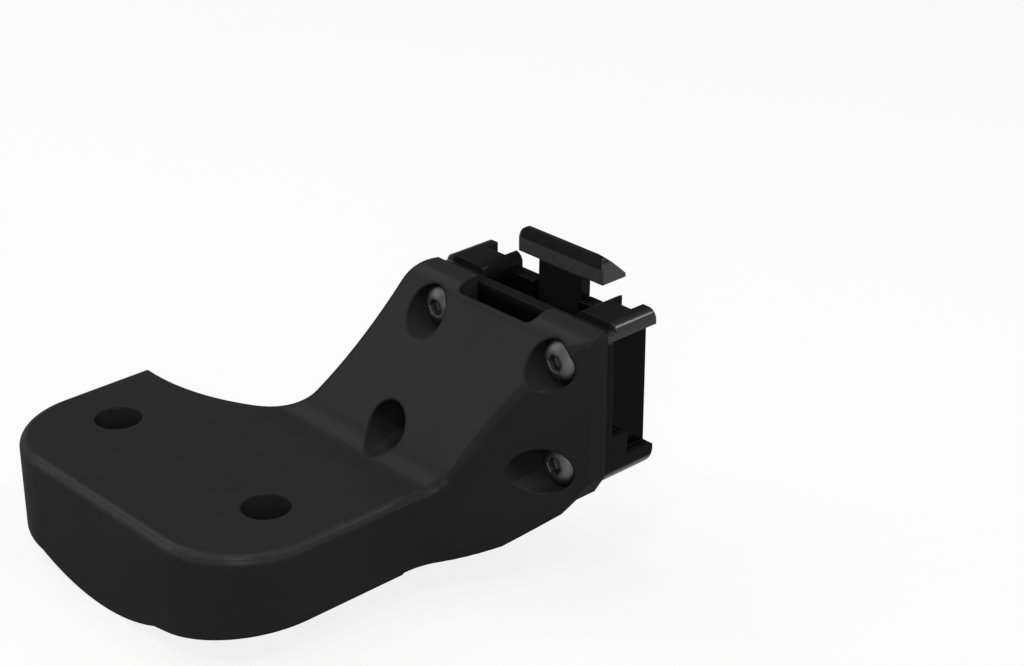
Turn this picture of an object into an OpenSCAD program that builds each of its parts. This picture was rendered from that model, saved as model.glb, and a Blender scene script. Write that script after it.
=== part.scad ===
// Bike computer mount: a one-piece bracket with a clip and a sprung release tongue.
// The bracket's flat top sits under a handlebar and two bolts come up through it.
// Millimetres. X runs along the two bolt holes, +Y towards the clip, +Z up.
// The origin is midway between the bolt holes, on the bracket's flat top.

/* [Plate] */
// Distance between the two bolt holes
bolt_spacing = 30; // [24:0.5:40]
// Diameter of each bolt hole
bolt_hole_d = 6; // [4:0.1:8]
// Width of the plate across the two bolts
plate_w = 49.2; // [44:0.2:64]
// Thickness of the plate at its left side
plate_t = 10.9; // [8:0.1:12]
// Thickness of the plate at its right side
plate_right_t = 9.9; // [8:0.1:12]
// Distance from the bolt row to the plate's free edge
plate_reach = 13.5; // [10:0.5:20]
// Radius of the plate's two free corners, seen from above
plate_corner_r = 11.5; // [4:0.5:13]
// Rounding of the top edge
top_edge_r = 1.3; // [0.4:0.1:3]
// Diameter of the flat that each bolt head seats on, below
spotface_d = 10.5; // [8:0.5:12]
// Thickness of the plate under each bolt head
spotface_t = 10.6; // [7:0.1:11]

/* [Underside] */
// Depth of the rounded belly below the plate's top
belly_depth = 14.75; // [13:0.25:18]
// Radius of the belly, seen from the front
belly_r = 32; // [24:1:50]
// How far the belly sits off the middle of the plate
belly_x = -1.4; // [-4:0.2:4]
// Thickness of the plate beside the belly
beside_t = 12.7; // [12:0.1:12.9]
// Width over which the plate keeps that thickness
beside_w = 21; // [16:0.5:24]
// Start of the belly's rise, from the bolt row
belly_rise_y = 12; // [8:0.5:15]
// Angle of the belly's rise
belly_rise = 44; // [30:1:60]
// Thickness of the waist under the foot of the slope
waist_t = 9.9; // [8:0.1:12]
// Start of the waist, from the bolt row
waist_y = 12.5; // [9:0.5:14]
// Length of the ramp up to the waist
waist_ramp = 5; // [3:0.5:7]
// Angle at which the underside meets the wall
rise_angle = 66; // [55:1:75]
// Length of the curve between the waist and the wall, seen from the side
rise_l = 12.8; // [9:0.2:14]

/* [Wall] */
// Distance from the bolt row to the face that the clip is screwed to
clip_face_y = 33.2; // [28:0.2:45]
// Height of the wall above the plate
wall_top = 19.2; // [15:0.2:26]
// Where the wall ends below the plate's top
wall_bottom = -2.4; // [-4:0.2:-2]
// How far the clip sits off the middle of the plate
clip_x = 22.5; // [16:0.1:30]
// Width of the wall and of the clip
clip_w = 29.4; // [28:0.2:36]
// Angle of the sloping front of the wall
slope_angle = 57.3; // [45:0.5:70]
// Radius of the hollow where the slope leaves the plate
foot_r = 6; // [2:0.5:10]
// Radius of the crest at the top of the slope
crest_r = 4.4; // [2:0.2:6]
// Flat left along the top of the wall, behind the crest
crest_flat = 0.8; // [0.4:0.1:3]
// Length of the plate's short side, from the bolt row to its sharp corner
short_side_y = 10.5; // [6:0.5:16]
// Radius of the hollow side between that corner and the clip
hollow_r = 30; // [26:1:60]
// Length of the wall's straight end, ahead of the clip face
wall_end = 3; // [2:0.2:6]
// Where the flare leaves the plate's side, from the bolt row
flare_y = 12.7; // [8:0.1:16]
// Radius that eases the plate's side into the flare
ease_r = 10; // [4:0.5:16]
// Angle through which that radius turns, before the flare's longer curve
ease_turn = 24; // [10:1:35]
// Width of the bevel under the wall's outer side
bevel_w = 3; // [1:0.2:5]
// Height of that bevel
bevel_h = 4.8; // [1:0.2:6]
// Top of that bevel
bevel_top = 0.4; // [-1:0.1:1]
// Width of the flatter bevel below it
under_w = 5.2; // [3:0.2:6]
// Height of the flatter bevel
under_h = 4.8; // [3:0.1:5]
// How far in the crease between slope and flare is bevelled
crease_in = 0.7; // [0.4:0.1:1.6]
// Angle at which that bevel leans in
crease_lean = 36; // [24:1:40]
// Direction in which it leans, seen from above
crease_turn = 161; // [145:1:165]

/* [Slot] */
// Width of the slot in the top of the wall
slot_w = 12.9; // [8:0.1:16]
// How far the slot sits off the middle of the clip
slot_x = -0.9; // [-2:0.1:2]
// Depth of the slot, from front to back
slot_l = 3.6; // [2:0.2:5]
// Depth of the slot below the top of the wall
slot_h = 6; // [3:0.5:9]
// Radius of the slot's front corners
slot_r = 1; // [0.4:0.1:1.5]

/* [Clip screws] */
// Distance from each side of the clip to its column of screws
screw_in = 4.3; // [4:0.1:6]
// Distance from the wall's top to the upper row of screws
screw_down = 4.1; // [3.6:0.1:6]
// Height of the lower row
screw_z = 1.6; // [1:0.1:4]
// Diameter of the thread
screw_d = 3; // [2:0.5:3]
// Length of each screw below its head
screw_l = 6; // [5:0.5:7]
// Diameter of the head
head_d = 5.5; // [5:0.1:5.6]
// Height of the head
head_h = 2; // [1.6:0.1:3]
// Width of the hexagon socket across its corners
socket_d = 2.3; // [1.8:0.1:2.6]
// Depth of the socket
socket_h = 1.2; // [0.8:0.1:1.4]
// Diameter of the well that each head sits in
well_d = 5.9; // [5.8:0.1:6.4]
// How far the lower left well leans upwards
well_rise = 6.5; // [6:0.5:9]
// How far the lower left well leans to the right
well_turn = 8; // [0:0.5:9]
// Thickness of the wall left under each head
well_floor = 2.3; // [1.5:0.1:3]
// Outside diameter of the threaded insert
insert_d = 4.2; // [4:0.1:4.6]
// Length of the threaded insert
insert_l = 4; // [3:0.5:4.5]

/* [Clip] */
// Depth of the clip, from the wall to its back
clip_l = 8; // [7.6:0.2:12]
// Thickness of the plate that lies against the wall
face_t = 1.5; // [1:0.1:2]
// How far the clip's face ends below the wall's top
face_drop = 0.8; // [0.2:0.1:3]
// Lowest point of the clip
clip_bottom = -1.6; // [-3:0.2:0]
// How far the two ears stand above the wall's top
ear_rise = 0.3; // [0:0.1:1]
// Width of each ear
ear_w = 6.7; // [6.6:0.1:7.2]
// Rounding of the ears
ear_r = 1.3; // [0.5:0.1:1.5]
// Rounding of the clip's two lower corners
clip_corner_r = 3; // [1:0.5:4]
// Height of the clip's floor
floor_top = 1.6; // [1:0.2:3]
// Thickness of the web behind the channel
web_t = 2; // [1.6:0.1:2.4]
// How far the web ends below the wall's top
web_drop = 1.6; // [0.2:0.1:4]
// Width of each rail groove in the back
groove_w = 3.4; // [3:0.1:3.6]
// Depth of each rail groove
groove_l = 2; // [1.4:0.1:2.4]
// Distance from the clip's side to its groove
groove_in = 2.2; // [2.1:0.1:2.3]
// Depth of the recess in each outer side
recess_in = 1.6; // [0.6:0.1:1.7]
// Distance from the wall to that recess
recess_y = 1; // [0.8:0.1:2]
// Height of the rim above the recess
rim_h = 1.8; // [1.5:0.1:3]
// Lowest point of the recess
recess_bottom = 1.8; // [1.4:0.1:2.4]
// Height of the step in the recess's front lower corner
step_top = 5; // [3:0.1:7]
// Length of that step
step_l = 2.6; // [1:0.1:4]

/* [Release tongue] */
// Width of the tongue's neck
neck_w = 7.2; // [5:0.2:8.6]
// Thickness of the neck
neck_t = 1.6; // [1.2:0.1:1.8]
// How far the neck leans back at its top
neck_lean = 0.4; // [0:0.1:1]
// Height of the tongue's root
root_z = 3.4; // [3:0.2:5]
// Width of the head
head_w = 14.4; // [12:0.2:18]
// Gap between the ears' tops and the head's lowest point
head_gap = 1; // [0.7:0.1:2]
// Height of the head
head_rise = 3.5; // [3:0.1:5]
// Length of the head, from its front to its tip
head_reach = 3.9; // [3:0.1:5]
// Rounding of the head's two upper corners
head_r = 1.7; // [0.5:0.1:2.5]
// Height of the head's blunt tip
tip_h = 0.5; // [0.3:0.1:1]
// How far the upper half of the head's front leans back
brow_lean = 0.2; // [0.1:0.1:0.8]
// Length of the flat along the head's top
crown_l = 0.4; // [0.2:0.1:1]

/* [Hidden] */
$fn = 96;
// Gap left all round between pieces that fit into each other
fit = 0.05;
// Gap round the release tongue, which moves
play = 0.3;
// Past a face, so that a cut leaves nothing behind
over = 1;

plate_edge_x = plate_w / 2;
plate_edge_y = -plate_reach;
wall_left = clip_x - clip_w / 2;
wall_right = clip_x + clip_w / 2;
clip_back = clip_face_y + clip_l;
crest_y = clip_face_y - crest_flat - crest_r * tan(slope_angle / 2);
foot_y = crest_y - wall_top / tan(slope_angle);
ease_end = [plate_edge_x, flare_y] + turned(0, ease_turn, ease_r);
rise_end_y = clip_face_y - wall_end;
flare_end = [wall_right, rise_end_y];
flare_chord = flare_end - ease_end;
flare_lean = atan2(flare_chord.x, flare_chord.y) - ease_turn;
flare_r = norm(flare_chord) / 2 / sin(flare_lean);
// Straight pieces that each half of the flare is drawn with, and the rise
curve_steps = 12;
// How far the flare has turned from +Y at each of its points
turns = [
  for (i = [0:curve_steps - 1]) i * ease_turn / curve_steps,
  for (i = [0:curve_steps]) ease_turn + i * 2 * flare_lean / curve_steps
];
foot_middle = [foot_y - foot_r * tan(slope_angle / 2), foot_r];
rows = [screw_z, wall_top - screw_down];
columns = [wall_left + screw_in, wall_right - screw_in];
seat_y = clip_face_y - well_floor;
face_top = wall_top - face_drop;
web_top = wall_top - web_drop;
ear_top = wall_top + ear_rise;
head_bottom = ear_top + head_gap;
root_y = clip_back - web_t / 2;

function unit(v) = v / norm(v);

// Middle of the arc of radius r through a and b, on the left of the way from a to b.
function arc_middle(a, b, r) =
  (a + b) / 2 + unit([a.y - b.y, b.x - a.x]) * sqrt(r * r - pow(norm(b - a) / 2, 2));

// Way along an arc of radius r that leaves +Y for +X, between two angles from +Y.
function turned(from, to, r) = r * [cos(from) - cos(to), sin(to) - sin(from)];

// A point on the flare seen from above, by the angle that the flare has turned.
function flare_point(angle) =
  angle < ease_turn
    ? [plate_edge_x, flare_y] + turned(0, angle, ease_r)
    : ease_end + turned(ease_turn, angle, flare_r);

// Height of the bracket's top at a distance from the bolt row: plate, foot, slope and wall.
function top_at(y) =
  y < foot_middle.x ? 0
    : y < foot_middle.x + foot_r * sin(slope_angle)
      ? foot_r - sqrt(foot_r * foot_r - pow(y - foot_middle.x, 2))
      : min((y - foot_y) * tan(slope_angle), wall_top);

// What lies between a corner at p, with sides along a and b, and the arc that rounds it.
// It reaches past both sides, so that it cuts cleanly.
module corner(p, a, b, r) {
  half = acos(a * b) / 2;
  on_a = p + a * r / tan(half);
  on_b = p + b * r / tan(half);
  middle = p + unit(a + b) * r / sin(half);
  difference() {
    polygon([p - a - b, on_a - b, on_a, middle, on_b, on_b - a]);
    translate(middle) circle(r);
  }
}

// Lays a drawing of Y and Z upright and draws it out along X.
module along_x(x, l) {
  translate([x, 0, 0]) rotate([90, 0, 90]) linear_extrude(l) children();
}

// Lays a drawing of X and Z upright and draws it out along Y.
module along_y(y, l) {
  translate([0, y + l, 0]) rotate([90, 0, 0]) linear_extrude(l) children();
}

module bore_y(d, y, l) {
  translate([0, y, 0]) rotate([-90, 0, 0]) cylinder(d = d, h = l);
}

// A point on the curve that rises under the wall, by the angle that the curve has turned.
function rise_point(angle) =
  [
    rise_end_y - rise_l * (1 - sin(angle) / sin(rise_angle)),
    -waist_t + (waist_t + wall_bottom) * (1 - cos(angle)) / (1 - cos(rise_angle))
  ];

// The bracket seen from the side: plate, slope, crest, and the waist and rise underneath.
module bracket_side() {
  slope = [cos(slope_angle), sin(slope_angle)];
  crest = [crest_y, wall_top];
  foot_l = foot_y - foot_middle.x;
  difference() {
    polygon([
      [plate_edge_y - over, -beside_t],
      [waist_y - waist_ramp, -beside_t],
      [waist_y, -waist_t],
      for (i = [0:curve_steps]) rise_point(i * rise_angle / curve_steps),
      [clip_face_y, wall_bottom],
      [clip_face_y, wall_top],
      crest,
      [foot_y, 0] + slope * foot_l,
      foot_middle,
      [foot_middle.x, 0],
      [plate_edge_y - over, 0]
    ]);
    translate(foot_middle) circle(foot_r);
    corner(crest, -slope, [1, 0], crest_r);
  }
}

// The belly seen from the side, from inside the plate downwards.
module belly_side() {
  inside = waist_t / 2;
  polygon([
    [plate_edge_y - over, -belly_depth],
    [belly_rise_y, -belly_depth],
    [belly_rise_y + (belly_depth - inside) / tan(belly_rise), -inside],
    [plate_edge_y - over, -inside]
  ]);
}

// The bracket seen from above: rounded free end, hollow left side and flared right side.
module bracket_plan() {
  difference() {
    polygon([
      [-plate_edge_x, plate_edge_y],
      [plate_edge_x, plate_edge_y],
      for (angle = turns) flare_point(angle),
      [wall_right, clip_face_y + over],
      [-plate_edge_x, clip_face_y + over]
    ]);
    for (side = [-1, 1]) {
      corner([side * plate_edge_x, plate_edge_y], [0, 1], [-side, 0], plate_corner_r);
    }
    translate(arc_middle([-plate_edge_x, short_side_y], [wall_left, clip_face_y], hollow_r))
      circle(hollow_r, $fn = 180);
  }
}

// The bracket seen from the front: the plate thins towards both sides, and the wall is bevelled.
module bracket_front() {
  bevel_x = wall_right - bevel_w;
  bevel_z = bevel_top - bevel_h;
  polygon([
    [-plate_edge_x - over, wall_top + over],
    [-plate_edge_x - over, -plate_t],
    [belly_x - beside_w / 2, -beside_t],
    [belly_x + beside_w / 2, -beside_t],
    [plate_edge_x + over, -plate_right_t],
    [bevel_x - under_w, -plate_right_t - over],
    [bevel_x - under_w, bevel_z - under_h],
    [bevel_x, bevel_z],
    [wall_right, bevel_top],
    [wall_right + over, bevel_top],
    [wall_right + over, wall_top + over]
  ]);
}

// What comes off the plate's top edge to round it, up to where the crease's bevel takes over.
module top_edge_cut() {
  bend_y = plate_edge_y + plate_corner_r;
  bend_x = plate_edge_x - plate_corner_r;
  along_x(-bend_x, 2 * bend_x) corner([plate_edge_y, 0], [1, 0], [0, -1], top_edge_r);
  for (side = [-1, 1]) {
    translate([side * bend_x, bend_y, 0])
      rotate([0, 0, side > 0 ? -90 : 180])
        rotate_extrude(angle = 90)
          corner([plate_corner_r, 0], [-1, 0], [0, -1], top_edge_r);
    along_y(bend_y, (side > 0 ? flare_y - over / 2 : short_side_y + over) - bend_y)
      corner([side * plate_edge_x, 0], [-side, 0], [0, -1], top_edge_r);
  }
}

// What comes off the crease between slope and flare, and off the wall's top edge behind it.
// The crease's points are laid flat along the bevel's own direction and drawn out along it.
module crease_cut() {
  across = [cos(crease_lean) * cos(crease_turn), cos(crease_lean) * sin(crease_turn), -sin(crease_lean)];
  along = [-sin(crease_turn), cos(crease_turn), 0];
  start_y = flare_y - over;
  crease = [
    [plate_edge_x - crease_in, start_y, 0],
    for (angle = turns)
      let (p = flare_point(angle) - crease_in * [cos(angle), -sin(angle)])
        [p.x, p.y, top_at(p.y)],
    [wall_right - crease_in, clip_face_y + over, wall_top]
  ];
  reach = clip_w;
  outline = concat(crease, [
    [wall_right + reach, clip_face_y + over, wall_top],
    [wall_right + reach, start_y, 0]
  ]);
  rotate([0, crease_lean, crease_turn])
    translate([0, 0, -2 * reach])
      linear_extrude(4 * reach)
        polygon([for (p = outline) [p * across, p * along]]);
}

// The slot in the top of the wall, seen from above.
module slot_plan() {
  middle = clip_x + slot_x;
  front = clip_face_y - slot_l;
  difference() {
    translate([middle - slot_w / 2, front]) square([slot_w, slot_l + over]);
    for (side = [-1, 1]) {
      corner([middle + side * slot_w / 2, front], [-side, 0], [0, 1], slot_r);
    }
  }
}

module bracket() {
  color("#2b2b2b") difference() {
    intersection() {
      union() {
        intersection() {
          along_x(-plate_edge_x - over, plate_edge_x + wall_right + 2 * over) bracket_side();
          along_y(plate_edge_y - 2 * over, plate_reach + clip_face_y + 3 * over) bracket_front();
        }
        intersection() {
          along_x(-plate_edge_x - over, plate_w + 2 * over) belly_side();
          translate([belly_x, 0, belly_r - belly_depth])
            bore_y(2 * belly_r, plate_edge_y - 2 * over, plate_reach + clip_face_y);
        }
      }
      translate([0, 0, -belly_depth - over])
        linear_extrude(belly_depth + wall_top + 2 * over) bracket_plan();
    }
    top_edge_cut();
    crease_cut();
    for (side = [-1, 1]) {
      translate([side * bolt_spacing / 2, 0, -belly_depth - over]) {
        cylinder(d = bolt_hole_d, h = belly_depth + 2 * over);
        cylinder(d = spotface_d, h = belly_depth + over - spotface_t);
      }
    }
    for (x = columns) {
      for (z = rows) {
        translate([x, 0, z]) bore_y(screw_d + 4 * fit, seat_y - over, well_floor + 2 * over);
        translate([x, seat_y, z]) well(x == columns[0] && z == rows[0]);
      }
    }
    translate([0, 0, wall_top - slot_h]) linear_extrude(slot_h + over) slot_plan();
  }
}

// The well of a screw head. The leaning one clears the plate.
module well(leaning) {
  rise = leaning ? well_rise : 0;
  turn = leaning ? well_turn : 0;
  intersection() {
    translate([0, -head_h / 2, 0])
      rotate([90 - rise, 0, turn])
        translate([0, 0, -2 * head_h]) cylinder(d = well_d, h = 2 * clip_face_y);
    translate([-clip_w, -2 * clip_face_y, -clip_w]) cube([2 * clip_w, 2 * clip_face_y, 2 * clip_w]);
  }
}

// The clip's solid body seen from the front.
module clip_front(top) {
  difference() {
    translate([wall_left, clip_bottom]) square([clip_w, top - clip_bottom]);
    for (side = [-1, 1]) {
      corner([clip_x + side * clip_w / 2, clip_bottom], [-side, 0], [0, 1], clip_corner_r);
    }
  }
}

// What is taken away above the clip's face and web to leave the two ears.
module between_ears() {
  inside = clip_w - 2 * ear_w;
  translate([clip_x - inside / 2, web_top]) square([inside, ear_top - web_top + over]);
  for (side = [-1, 1]) {
    corner([clip_x + side * clip_w / 2, ear_top], [-side, 0], [0, -1], ear_r);
    corner([clip_x + side * inside / 2, ear_top], [side, 0], [0, -1], ear_r);
  }
}

// The recess in the clip's outer side, seen from that side, with its step.
module recess_side() {
  difference() {
    translate([clip_face_y + recess_y, recess_bottom])
      square([clip_l, ear_top - rim_h - recess_bottom]);
    translate([clip_face_y + recess_y - over, recess_bottom - over])
      square([step_l + over, step_top - recess_bottom + over]);
  }
}

module clip_body() {
  inside = clip_w - 2 * ear_w;
  channel_y = clip_face_y + face_t;
  window_w = neck_w + 2 * play;
  color("#1c1c1c") difference() {
    union() {
      along_y(clip_face_y, face_t) clip_front(face_top);
      along_y(channel_y, clip_l - face_t) difference() {
        clip_front(ear_top);
        between_ears();
      }
    }
    translate([clip_x - inside / 2, channel_y, floor_top])
      cube([inside, clip_l - face_t - web_t, ear_top]);
    translate([clip_x - window_w / 2, clip_back - web_t - over, root_z])
      cube([window_w, web_t + 2 * over, ear_top]);
    translate([clip_x - window_w / 2, root_y, root_z])
      rotate([0, 90, 0]) cylinder(r = neck_t / 2 + play, h = window_w);
    for (side = [-1, 1]) {
      translate([clip_x + side * (clip_w / 2 - groove_in - groove_w / 2), clip_back, floor_top])
        translate([-groove_w / 2, -groove_l, 0]) cube([groove_w, groove_l + over, ear_top]);
      along_x(side > 0 ? wall_right - recess_in : wall_left - over, recess_in + over) recess_side();
    }
    for (x = columns) {
      for (z = rows) {
        translate([x, 0, z]) bore_y(insert_d + 2 * fit, clip_face_y - over, insert_l + over);
      }
    }
  }
}

// The tongue's neck seen from the side, from its round root up into the head.
module neck_side() {
  half = neck_t / 2;
  translate([root_y, root_z]) circle(d = neck_t);
  polygon([
    [root_y - half, root_z],
    [root_y + half, root_z],
    [root_y + half + neck_lean, head_bottom + tip_h],
    [root_y - half + neck_lean, head_bottom + tip_h]
  ]);
}

// The tongue's head seen from the side: a front in two halves and a ramp down to the tip.
module head_side() {
  front = root_y - neck_t / 2 + neck_lean;
  top = head_bottom + head_rise;
  polygon([
    [front, head_bottom],
    [front + head_reach, head_bottom],
    [front + head_reach, head_bottom + tip_h],
    [front + brow_lean + crown_l, top],
    [front + brow_lean, top],
    [front, head_bottom + head_rise / 2]
  ]);
}

// The tongue's head seen from the front.
module head_front() {
  difference() {
    translate([clip_x - head_w / 2, head_bottom - over]) square([head_w, head_rise + 2 * over]);
    for (side = [-1, 1]) {
      corner([clip_x + side * head_w / 2, head_bottom + head_rise], [-side, 0], [0, -1], head_r);
    }
  }
}

module release_tongue() {
  color("#202020") {
    along_x(clip_x - neck_w / 2, neck_w) neck_side();
    intersection() {
      along_x(clip_x - head_w / 2 - over, head_w + 2 * over) head_side();
      along_y(clip_face_y, clip_l + 2 * head_reach) head_front();
    }
  }
}

// A screw with a low round head and a hexagon socket, in its place.
module clip_screw(x, z) {
  color("#4a4a4c") translate([x, seat_y, z]) {
    difference() {
      rotate([90, 0, 0]) rotate_extrude() difference() {
        square([head_d / 2, head_h]);
        corner([head_d / 2, head_h], [-1, 0], [0, -1], head_h / 2);
      }
      rotate([90, 0, 0])
        translate([0, 0, head_h - socket_h]) cylinder(d = socket_d, h = socket_h + over, $fn = 6);
    }
    bore_y(screw_d, 0, screw_l);
  }
}

// A threaded insert in the clip, which a screw runs into.
module clip_insert(x, z) {
  color("#b08d57") translate([x, 0, z]) difference() {
    bore_y(insert_d, clip_face_y, insert_l - fit);
    bore_y(screw_d + 2 * fit, clip_face_y - over, insert_l + 2 * over);
  }
}

bracket();
clip_body();
release_tongue();
clip_screw(columns[0], rows[1]);  // clip_screw_upper_left
clip_screw(columns[1], rows[1]);  // clip_screw_upper_right
clip_screw(columns[0], rows[0]);  // clip_screw_lower_left
clip_screw(columns[1], rows[0]);  // clip_screw_lower_right
clip_insert(columns[0], rows[1]);  // clip_insert_upper_left
clip_insert(columns[1], rows[1]);  // clip_insert_upper_right
clip_insert(columns[0], rows[0]);  // clip_insert_lower_left
clip_insert(columns[1], rows[0]);  // clip_insert_lower_right
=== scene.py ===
import math

import bpy
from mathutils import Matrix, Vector


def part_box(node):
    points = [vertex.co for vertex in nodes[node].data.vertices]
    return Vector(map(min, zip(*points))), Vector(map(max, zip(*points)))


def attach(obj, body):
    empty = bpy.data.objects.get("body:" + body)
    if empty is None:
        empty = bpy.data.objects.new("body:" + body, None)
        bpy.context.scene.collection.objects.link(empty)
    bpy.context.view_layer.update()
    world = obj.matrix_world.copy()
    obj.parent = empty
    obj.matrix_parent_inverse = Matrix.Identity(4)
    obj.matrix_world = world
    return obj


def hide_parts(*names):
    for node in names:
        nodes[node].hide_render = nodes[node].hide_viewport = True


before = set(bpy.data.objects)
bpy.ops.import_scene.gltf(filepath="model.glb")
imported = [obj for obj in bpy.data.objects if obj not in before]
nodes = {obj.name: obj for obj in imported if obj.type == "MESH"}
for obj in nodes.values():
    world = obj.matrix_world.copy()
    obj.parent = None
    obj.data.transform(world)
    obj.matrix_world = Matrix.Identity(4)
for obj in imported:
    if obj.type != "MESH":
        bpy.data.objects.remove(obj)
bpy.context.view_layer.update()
lowest = min(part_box(name)[0].z for name in nodes)

# Lengths are in metres, and colours are linear.

# Axes, as places in a vector
X, Z = 0, 2

# A colour Mix node's sockets, whose names repeat for its other data types
FIRST_COLOUR, SECOND_COLOUR, MIXED_COLOUR = 6, 7, 2

# Noise scales, from the widest features to the finest
WAVES, MOTTLE, SMEAR, PATCHES, TARNISH, HIGHLIGHT_SPECKLE, GRAIN = 35, 70, 160, 260, 700, 1400, 2600

# Bumps: shrink waves and grain in plastic, rings in metal
WAVE_HEIGHT, WAVE_STRENGTH = 0.0004, 0.12
GRAIN_HEIGHT = 0.00004
SKIN_SMOOTHER = 5  # how many times weaker the grain is in the plastic's skin than below it
RING_HEIGHT, RING_STRENGTH = 0.000006, 0.5

METAL_EDGE = 0.00012  # how far a metal edge is rounded
# Painted shade: the near-black put in the clip's recesses and channel
PAINTED_SHADE_BLACK = (0.0035, 0.0035, 0.0036)
WHITE = (1.0, 1.0, 1.0, 1.0)


# Shader nodes

def new_material(name):
    """An empty material with its output node."""
    material = bpy.data.materials.new(name)
    material.use_nodes = True
    tree = material.node_tree
    tree.nodes.clear()
    output = tree.nodes.new("ShaderNodeOutputMaterial")
    return material, tree, output


def noise(tree, vector, scale, detail, roughness=0.5):
    node = tree.nodes.new("ShaderNodeTexNoise")
    node.inputs["Scale"].default_value = scale
    node.inputs["Detail"].default_value = detail
    node.inputs["Roughness"].default_value = roughness
    tree.links.new(vector, node.inputs["Vector"])
    return node.outputs["Fac"]


def ramp(tree, value, stops):
    """A colour ramp from (place, colour) stops."""
    node = tree.nodes.new("ShaderNodeValToRGB")
    for element, (place, colour) in zip(node.color_ramp.elements, stops):
        element.position = place
        element.color = (*colour, 1.0)
    tree.links.new(value, node.inputs["Fac"])
    return node.outputs["Color"]


def spread(tree, value, low, high, start=0.3, end=0.7):
    """A value that runs from start to end, spread over low to high and held there."""
    node = tree.nodes.new("ShaderNodeMapRange")
    node.inputs["From Min"].default_value = start
    node.inputs["From Max"].default_value = end
    node.inputs["To Min"].default_value = low
    node.inputs["To Max"].default_value = high
    tree.links.new(value, node.inputs["Value"])
    return node.outputs["Result"]


def rising(tree, value, start, end):
    """0 up to start and 1 from end on."""
    return spread(tree, value, 0.0, 1.0, start, end)


def falling(tree, value, start, end):
    """1 up to start and 0 from end on."""
    return spread(tree, value, 1.0, 0.0, start, end)


def calculate(tree, operation, *values):
    """What a Math node makes of its values. Each is a socket or a number."""
    node = tree.nodes.new("ShaderNodeMath")
    node.operation = operation
    for socket, value in zip(node.inputs, values):
        if isinstance(value, float):
            socket.default_value = value
        else:
            tree.links.new(value, socket)
    return node.outputs["Value"]


def either(tree, first, second):
    return calculate(tree, "MAXIMUM", first, second)


def both(tree, first, second):
    return calculate(tree, "MINIMUM", first, second)


def mix_colours(tree, factor, first, second):
    """The first colour where the factor is 0, the second where it is 1.

    Each is a socket or a colour.
    """
    node = tree.nodes.new("ShaderNodeMix")
    node.data_type = "RGBA"
    tree.links.new(factor, node.inputs["Factor"])
    for place, colour in ((FIRST_COLOUR, first), (SECOND_COLOUR, second)):
        if isinstance(colour, tuple):
            node.inputs[place].default_value = (*colour, 1.0)
        else:
            tree.links.new(colour, node.inputs[place])
    return node.outputs[MIXED_COLOUR]


def bump(tree, height, distance, strength, normal):
    node = tree.nodes.new("ShaderNodeBump")
    node.inputs["Distance"].default_value = distance
    node.inputs["Strength"].default_value = strength
    tree.links.new(height, node.inputs["Height"])
    tree.links.new(normal, node.inputs["Normal"])
    return node.outputs["Normal"]


def soft_edges(tree, radius):
    """A normal that rounds every edge a little, as a mould or a tool does."""
    node = tree.nodes.new("ShaderNodeBevel")
    node.samples = 8
    node.inputs["Radius"].default_value = radius
    return node.outputs["Normal"]


def part_along(tree, vector, axis):
    """A vector's part along X or Z."""
    node = tree.nodes.new("ShaderNodeSeparateXYZ")
    tree.links.new(vector, node.inputs["Vector"])
    return node.outputs[axis]


def reach_from(tree, coords, axis, middle):
    """How far a point is from the middle along an axis."""
    offset = calculate(tree, "SUBTRACT", part_along(tree, coords, axis), middle)
    return calculate(tree, "ABSOLUTE", offset)


def reach_in(tree, coords, name, axis):
    """How far a point is from a node's middle along an axis, and how far the node reaches."""
    low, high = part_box(name)
    reach = reach_from(tree, coords, axis, (low[axis] + high[axis]) / 2)
    return reach, (high[axis] - low[axis]) / 2


# Masks: where painted highlights and painted shade go on each plastic piece

HEAD_BAND_DROP = 0.0026  # from the tongue's top down to the middle of the head's lower band


def near_face(tree, reach, face, start, full):
    """0 deeper than start below an outer face, and 1 from the depth full out to the face."""
    return rising(tree, reach, face - start, face - full)


def below_face(tree, reach, face, full, end):
    """1 deeper than full below an outer face, and 0 from the depth end out to the face."""
    return falling(tree, reach, face - full, face - end)


def painted_edge_highlight(tree, coords):
    """1 along the plate's rolled top edge, where a lighter grey is painted in patches as a
    highlight.
    """
    facing_up = part_along(tree, tree.nodes.new("ShaderNodeTexCoord").outputs["Normal"], Z)
    rolled = both(
        tree,
        rising(tree, facing_up, start=0.1, end=0.45),
        falling(tree, facing_up, start=0.85, end=0.99),
    )
    height = part_along(tree, coords, Z)
    level = both(
        tree,
        rising(tree, height, start=-0.0016, end=-0.0013),
        falling(tree, height, start=0.0, end=0.0001),
    )
    patches = noise(tree, coords, PATCHES, detail=3, roughness=0.6)
    return both(tree, both(tree, rolled, level), spread(tree, patches, low=0.55, high=1.0))


def painted_rim_highlight(tree, coords):
    """1 on the clip's outer rims, where a lighter colour and a glossier coat are painted as a
    highlight, and 0 in the recesses between.
    """
    across, width = reach_in(tree, coords, "clip_body", X)
    up, height = reach_in(tree, coords, "clip_body", Z)
    outside = near_face(tree, across, width, start=0.0014, full=0.0006)
    rims = near_face(tree, up, height, start=0.0021, full=0.0016)
    return both(tree, outside, rims)


def painted_recess_shade(tree, coords):
    """1 in the clip's side recesses and channel, where a near-black is painted as shade."""
    across, width = reach_in(tree, coords, "clip_body", X)
    up, height = reach_in(tree, coords, "clip_body", Z)
    inside = below_face(tree, across, width, full=0.0012, end=0.0006)
    between = below_face(tree, up, height, full=0.0021, end=0.0015)
    return both(tree, inside, between)


def painted_head_highlight(tree, coords):
    """1 on the head's ends and lower band, where a lighter colour and a glossier coat are painted
    as a highlight, and 0 above them.
    """
    across, width = reach_in(tree, coords, "release_tongue", X)
    ends = near_face(tree, across, width, start=0.0004, full=0.0001)
    band_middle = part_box("release_tongue")[1].z - HEAD_BAND_DROP
    off_band = reach_from(tree, coords, Z, band_middle)
    return either(tree, ends, falling(tree, off_band, start=0.00075, end=0.00105))


# Materials

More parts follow.
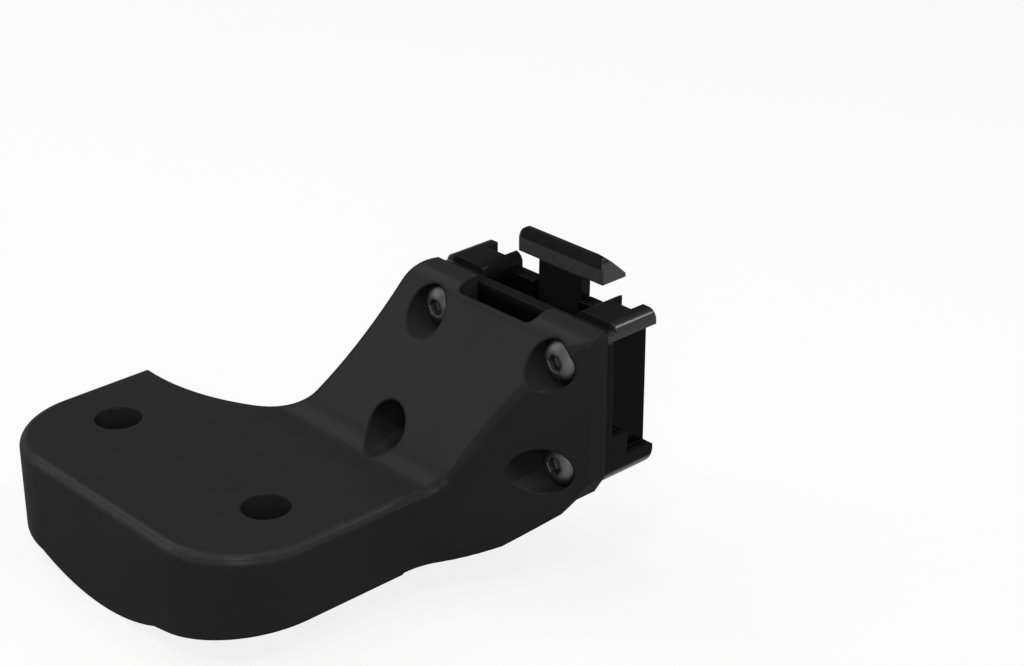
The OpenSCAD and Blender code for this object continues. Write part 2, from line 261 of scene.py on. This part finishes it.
def moulded_plastic(
    name, dark, light, gloss, grain, edge, skin, skin_roughness, highlight_mask, highlight_finish, recess_shade=None
):
    """Black moulded plastic with a fine grain, shrink waves and a skin that shines a little.

    Where a recess shade mask is given and is 1, a near-black is painted as shade. Where the
    highlight mask is 1 it has the highlight skin, and painted highlight colours from dark to
    light.
    """
    material, tree, output = new_material(name)
    coords = tree.nodes.new("ShaderNodeTexCoord").outputs["Object"]
    shader = tree.nodes.new("ShaderNodeBsdfPrincipled")
    shader.inputs["Specular IOR Level"].default_value = 0.0
    shader.inputs["Coat Roughness"].default_value = skin_roughness

    colour = ramp(tree, noise(tree, coords, MOTTLE, detail=3), [(0.3, dark), (0.7, light)])
    # Painted shade: near-black where the recess mask is 1
    if recess_shade:
        colour = mix_colours(tree, recess_shade(tree, coords), colour, PAINTED_SHADE_BLACK)
    # Painted highlight: a lighter, speckled colour and a glossier coat where the mask is 1
    highlight_skin, highlight_dark, highlight_light = highlight_finish
    where = highlight_mask(tree, coords)
    highlight_speckle = noise(tree, coords, HIGHLIGHT_SPECKLE, detail=3, roughness=0.7)
    highlight_colour = ramp(tree, highlight_speckle, [(0.35, highlight_dark), (0.65, highlight_light)])
    colour = mix_colours(tree, where, colour, highlight_colour)
    tree.links.new(colour, shader.inputs["Base Color"])
    weight = spread(tree, where, skin, highlight_skin, start=0.0, end=1.0)
    tree.links.new(weight, shader.inputs["Coat Weight"])
    smear = noise(tree, coords, SMEAR, detail=4, roughness=0.6)
    tree.links.new(spread(tree, smear, *gloss), shader.inputs["Roughness"])

    waves = noise(tree, coords, WAVES, detail=1)
    wavy = bump(tree, waves, WAVE_HEIGHT, WAVE_STRENGTH, soft_edges(tree, edge))
    fine = noise(tree, coords, GRAIN, detail=2, roughness=0.7)
    grained = bump(tree, fine, GRAIN_HEIGHT, grain, wavy)
    skin_grained = bump(tree, fine, GRAIN_HEIGHT, grain / SKIN_SMOOTHER, wavy)
    tree.links.new(grained, shader.inputs["Normal"])
    tree.links.new(skin_grained, shader.inputs["Coat Normal"])
    tree.links.new(shader.outputs["BSDF"], output.inputs["Surface"])
    return material


def turned_metal(name, dark, light, gloss, pitch):
    """Metal turned about the named node's axis along Y: fine rings and a little tarnish."""
    low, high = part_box(name)
    material, tree, output = new_material(name)
    coords = tree.nodes.new("ShaderNodeTexCoord").outputs["Object"]
    place = tree.nodes.new("ShaderNodeMapping")
    place.inputs["Location"].default_value = -(low + high) / 2
    tree.links.new(coords, place.inputs["Vector"])
    rings = tree.nodes.new("ShaderNodeTexWave")
    rings.wave_type = "RINGS"
    rings.rings_direction = "Y"
    rings.inputs["Scale"].default_value = 0.3 / pitch  # about one ring in each pitch
    rings.inputs["Distortion"].default_value = 0.4
    tree.links.new(place.outputs["Vector"], rings.inputs["Vector"])
    shader = tree.nodes.new("ShaderNodeBsdfPrincipled")
    shader.inputs["Metallic"].default_value = 1.0
    tarnish = noise(tree, coords, TARNISH, detail=4, roughness=0.6)
    tarnished = ramp(tree, tarnish, [(0.35, dark), (0.65, light)])
    tree.links.new(tarnished, shader.inputs["Base Color"])
    tree.links.new(spread(tree, tarnish, *gloss), shader.inputs["Roughness"])
    edges = soft_edges(tree, METAL_EDGE)
    turned = bump(tree, rings.outputs["Fac"], RING_HEIGHT, RING_STRENGTH, edges)
    tree.links.new(turned, shader.inputs["Normal"])
    tree.links.new(shader.outputs["BSDF"], output.inputs["Surface"])
    return material


def dress(name, material):
    """Gives a CAD node its material."""
    mesh_slots = nodes[name].material_slots
    if mesh_slots:
        for slot in mesh_slots:
            slot.material = material
    else:
        nodes[name].data.materials.append(material)


# Round meshes, made of rings of points

def turns_around(count):
    return [2 * math.pi * step / count for step in range(count)]


def fan(middle, ring, count):
    """Triangles from the middle point to a ring, which starts at point ring."""
    return [(middle, ring + step, ring + (step + 1) % count) for step in range(count)]


def band(near, far, count):
    """Four-sided faces between two rings, which start at points near and far."""
    return [
        (near + step, near + (step + 1) % count, far + (step + 1) % count, far + step)
        for step in range(count)
    ]


def round_object(name, points, faces, material):
    mesh = bpy.data.meshes.new(name)
    mesh.from_pydata(points, [], faces)
    mesh.shade_smooth()
    mesh.materials.append(material)
    made = bpy.data.objects.new(name, mesh)
    bpy.context.scene.collection.objects.link(made)
    return made


# Screws

HEAD_HEIGHT = 0.002
HEAD_RIM = 0.00042  # the straight side of the head, below its dome
CROWN_RADIUS = 0.0014  # where the dome ends round the socket
DOME_STEPS = 10
HEAD_BREAK = 0.0001
SHANK_RADIUS = 0.0015
SHANK_BREAK = 0.0003
SOCKET_RADIUS = 0.00115  # out to the hexagon's corners
SOCKET_BREAK, SOCKET_BREAK_DEPTH = 0.00005, 0.00008
SOCKET_DEPTH = 0.0011
SOCKET_TIP_DEPTH = 0.0013  # the drill's tip in the middle of the socket's floor
SCREW_SIDES = 72
SHARP_ANGLE = math.radians(35)  # edges that turn more than this stay sharp


def screw_profile(low, high):
    """(radius, y) from the shank's end to the head's crown."""
    head_radius = (high.x - low.x) / 2
    seat = low.y + HEAD_HEIGHT
    profile = [
        (SHANK_RADIUS - SHANK_BREAK, high.y),
        (SHANK_RADIUS, high.y - SHANK_BREAK),
        (SHANK_RADIUS, seat),
        (head_radius - HEAD_BREAK, seat),
        (head_radius, seat - HEAD_BREAK),
        (head_radius, seat - HEAD_RIM),
    ]
    crown_turn = math.acos(CROWN_RADIUS / head_radius)
    for step in range(1, DOME_STEPS + 1):
        turn = crown_turn * step / DOME_STEPS
        rise = (HEAD_HEIGHT - HEAD_RIM) * math.sin(turn) / math.sin(crown_turn)
        profile.append((head_radius * math.cos(turn), seat - HEAD_RIM - rise))
    return profile


def domed_screw(name, material):
    """A screw with a domed head, a hexagon socket and a plain shank, in the CAD screw's place."""
    low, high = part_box(name)
    middle = (low + high) / 2
    turns = turns_around(SCREW_SIDES)
    rings = [([radius] * SCREW_SIDES, y) for radius, y in screw_profile(low, high)]
    sixth = math.pi / 3
    flat = SOCKET_RADIUS * math.cos(sixth / 2)
    hexagon = [flat / math.cos((turn % sixth) - sixth / 2) for turn in turns]
    rings += [
        ([radius + SOCKET_BREAK for radius in hexagon], low.y),
        (hexagon, low.y + SOCKET_BREAK_DEPTH),
        (hexagon, low.y + SOCKET_DEPTH),
    ]
    points = [(middle.x, high.y, middle.z), (middle.x, low.y + SOCKET_TIP_DEPTH, middle.z)]
    shank_end, socket_tip = 0, 1
    starts = []
    for radii, y in rings:
        starts.append(len(points))
        points += [
            (middle.x + radius * math.cos(turn), y, middle.z + radius * math.sin(turn))
            for radius, turn in zip(radii, turns)
        ]
    faces = [face[::-1] for face in fan(shank_end, starts[0], SCREW_SIDES)]
    for near, far in zip(starts, starts[1:]):
        faces += band(near, far, SCREW_SIDES)
    faces += fan(socket_tip, starts[-1], SCREW_SIDES)
    screw = round_object(name + "_domed", points, faces, material)
    screw.data.set_sharp_from_angle(angle=SHARP_ANGLE)
    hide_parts(name)
    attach(screw, "mount")


# The dressed part

dress("bracket", moulded_plastic(
    "bracket_plastic",
    dark=(0.019, 0.019, 0.0193),
    light=(0.0222, 0.0222, 0.0225),
    gloss=(0.55, 0.65),
    grain=0.4,
    edge=0.0005,
    skin=0.075,
    skin_roughness=0.25,
    # Painted highlight: a lighter grey along the plate's rolled top edge
    highlight_mask=painted_edge_highlight,
    highlight_finish=(0.1, (0.03, 0.03, 0.0304), (0.037, 0.037, 0.0374)),
))
dress("clip_body", moulded_plastic(
    "clip_plastic",
    dark=(0.0088, 0.0088, 0.009),
    light=(0.0112, 0.0112, 0.0114),
    gloss=(0.5, 0.6),
    grain=0.2,
    edge=0.0003,
    skin=0.08,
    skin_roughness=0.22,
    # Painted highlight: a lighter colour on the outer rims
    highlight_mask=painted_rim_highlight,
    highlight_finish=(0.55, (0.022, 0.022, 0.0225), (0.03, 0.03, 0.0305)),
    # Painted shade in the recesses and channel
    recess_shade=painted_recess_shade,
))
dress("release_tongue", moulded_plastic(
    "tongue_plastic",
    dark=(0.0075, 0.0075, 0.0077),
    light=(0.0095, 0.0095, 0.0097),
    gloss=(0.5, 0.6),
    grain=0.2,
    edge=0.0003,
    skin=0.12,
    skin_roughness=0.22,
    # Painted highlight: a lighter colour on the head's ends and lower band
    highlight_mask=painted_head_highlight,
    highlight_finish=(0.55, (0.042, 0.042, 0.0425), (0.054, 0.054, 0.0545)),
))
STEEL = {
    "dark": (0.085, 0.085, 0.087),
    "light": (0.125, 0.125, 0.128),
    "gloss": (0.44, 0.56),
    "pitch": 0.00012,
}
BRASS = {
    "dark": (0.5, 0.36, 0.16),
    "light": (0.66, 0.5, 0.25),
    "gloss": (0.25, 0.4),
    "pitch": 0.0001,
}
for row in ("upper", "lower"):
    for side in ("left", "right"):
        screw = f"clip_screw_{row}_{side}"
        insert = f"clip_insert_{row}_{side}"
        domed_screw(screw, turned_metal(screw, **STEEL))
        dress(insert, turned_metal(insert, **BRASS))


# Lamps, world and floor

LAMP_TARGET = Vector((0.01, 0.012, 0.0))
LAMP_DISTANCE = 0.6
# Name, direction from the target, width in metres and power in watts
LAMPS = (
    ("key", (0.3, -0.35, 0.9), 0.12, 0.8),
    ("top", (-0.1, 0.1, 1.0), 0.3, 0.65),
    ("top_front", (-0.234, -0.546, 0.803), 0.16, 0.25),
    ("top_right", (0.528, 0.184, 0.827), 0.16, 0.4),
    ("left", (-0.66, -0.65, 0.38), 0.22, 0.5),
    ("left_middle", (-0.68, -0.37, 0.6), 0.24, 0.3),
    ("left_high", (-0.66, -0.03, 0.76), 0.26, 0.85),
    ("front", (0.66, -0.62, 0.43), 0.25, 1.1),
    ("right", (0.43, 0.62, 0.66), 0.12, 0.7),
)
WORLD_STRENGTH = 0.06

FLOOR_FLAT = 1.6  # radius of the flat part
FLOOR_RINGS = (0.1, 0.4, 1.0)  # of the flat part, as shares of its radius
FLOOR_BEND = 0.8  # radius of the bend from the flat part up to the wall
FLOOR_BEND_STEPS = 6
FLOOR_WALL = 1.0  # height of the wall's top
FLOOR_SIDES = 96
FLOOR_GAP = 0.0002
FLOOR_GLOW_SHARE = 0.85  # where the floor is seen or mirrored
FLOOR_UNSEEN_GREY, FLOOR_SEEN_GREY = (0.3, 0.3, 0.3), (0.8, 0.8, 0.8)


def area_lamp(name, direction, width, power):
    """A square soft light that looks at the target."""
    data = bpy.data.lights.new(name, "AREA")
    data.shape = "SQUARE"
    data.size = width
    data.energy = power
    lamp = bpy.data.objects.new(name, data)
    lamp.location = LAMP_TARGET + Vector(direction).normalized() * LAMP_DISTANCE
    lamp.rotation_euler = (LAMP_TARGET - lamp.location).to_track_quat("-Z", "Y").to_euler()
    bpy.context.scene.collection.objects.link(lamp)


def floor_material():
    """White where the floor is seen or mirrored, and darker as the light that it throws back."""
    material, tree, output = new_material("pale_floor")
    path = tree.nodes.new("ShaderNodeLightPath")
    seen = either(tree, path.outputs["Is Camera Ray"], path.outputs["Is Glossy Ray"])
    seen = either(tree, seen, path.outputs["Is Transmission Ray"])
    matt = tree.nodes.new("ShaderNodeBsdfDiffuse")
    grey = mix_colours(tree, seen, FLOOR_UNSEEN_GREY, FLOOR_SEEN_GREY)
    tree.links.new(grey, matt.inputs["Color"])
    glow = tree.nodes.new("ShaderNodeEmission")
    glow.inputs["Color"].default_value = WHITE
    glow.inputs["Strength"].default_value = 1.0
    mix = tree.nodes.new("ShaderNodeMixShader")
    tree.links.new(calculate(tree, "MULTIPLY", seen, FLOOR_GLOW_SHARE), mix.inputs["Fac"])
    tree.links.new(matt.outputs["BSDF"], mix.inputs[1])
    tree.links.new(glow.outputs["Emission"], mix.inputs[2])
    tree.links.new(mix.outputs["Shader"], output.inputs["Surface"])
    return material


def pale_floor(height):
    """A round floor that bends up into a low wall, so that low side views end in white too."""
    profile = [(FLOOR_FLAT * share, 0.0) for share in FLOOR_RINGS]
    for step in range(1, FLOOR_BEND_STEPS + 1):
        turn = math.pi / 2 * step / FLOOR_BEND_STEPS
        profile.append(
            (FLOOR_FLAT + FLOOR_BEND * math.sin(turn), FLOOR_BEND * (1 - math.cos(turn)))
        )
    profile.append((FLOOR_FLAT + FLOOR_BEND, FLOOR_WALL))
    points = [(0.0, 0.0, height)]
    starts = []
    for radius, rise in profile:
        starts.append(len(points))
        points += [
            (radius * math.cos(turn), radius * math.sin(turn), height + rise)
            for turn in turns_around(FLOOR_SIDES)
        ]
    faces = fan(0, starts[0], FLOOR_SIDES)
    for inner, outer in zip(starts, starts[1:]):
        faces += band(outer, inner, FLOOR_SIDES)
    return round_object("floor", points, faces, floor_material())


for lamp in LAMPS:
    area_lamp(*lamp)

world = bpy.data.worlds.new("studio")
world.use_nodes = True
background = world.node_tree.nodes["Background"]
background.inputs["Color"].default_value = WHITE
background.inputs["Strength"].default_value = WORLD_STRENGTH
bpy.context.scene.world = world

pale_floor(lowest - FLOOR_GAP)


# Camera: the photograph's viewpoint

camera_data = bpy.data.cameras.new("camera")
camera_data.sensor_fit = "HORIZONTAL"
camera_data.sensor_width = 36.0
camera_data.lens = 78.57
camera_data.clip_start = 0.01
camera = bpy.data.objects.new("camera", camera_data)
camera.location = (0.197657, -0.132356, 0.129967)
back = Vector((0.65724, -0.61628, 0.43366))  # from what it looks at towards the camera
camera.rotation_euler = (-back).to_track_quat("-Z", "Y").to_euler()
bpy.context.scene.collection.objects.link(camera)
bpy.context.scene.camera = camera

bpy.context.scene.view_settings.view_transform = "Standard"
